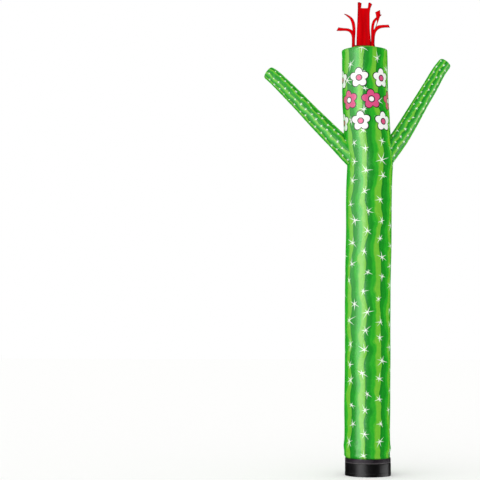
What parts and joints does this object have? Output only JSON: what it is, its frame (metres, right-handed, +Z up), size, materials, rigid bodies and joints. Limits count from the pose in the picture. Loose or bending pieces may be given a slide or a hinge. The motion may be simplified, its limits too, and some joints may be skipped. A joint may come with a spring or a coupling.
{
  "type": "inflatable air dancer",
  "caption": "Tall inflated nylon tube figure with two raised open arms, ribbon hair on a closed head and an open base sleeve that straps over a blower outlet.",
  "frame": {"origin": "on the ground, below the middle of the whole outline; the base sleeve's axis stands at x = 0.0618, y = -0.0238", "axes": "+Z up along the tube; the front looks along -Y; +X is to the right of someone who looks at the front; both arms lean back, towards +Y"},
  "size_m": [1.3194, 0.3715, 3.286],
  "materials": {
    "printed_nylon": "satin",
    "hair_nylon": "satin",
    "sleeve_fabric": "satin",
    "strap_webbing": "matt"
  },
  "bodies": {
    "root": {"body_tube": "printed_nylon", "head_cap": "printed_nylon", "left_arm": "printed_nylon", "right_arm": "printed_nylon", "hair": "hair_nylon", "base_sleeve": "sleeve_fabric", "strap": "strap_webbing"}
  },
  "joints": []
}
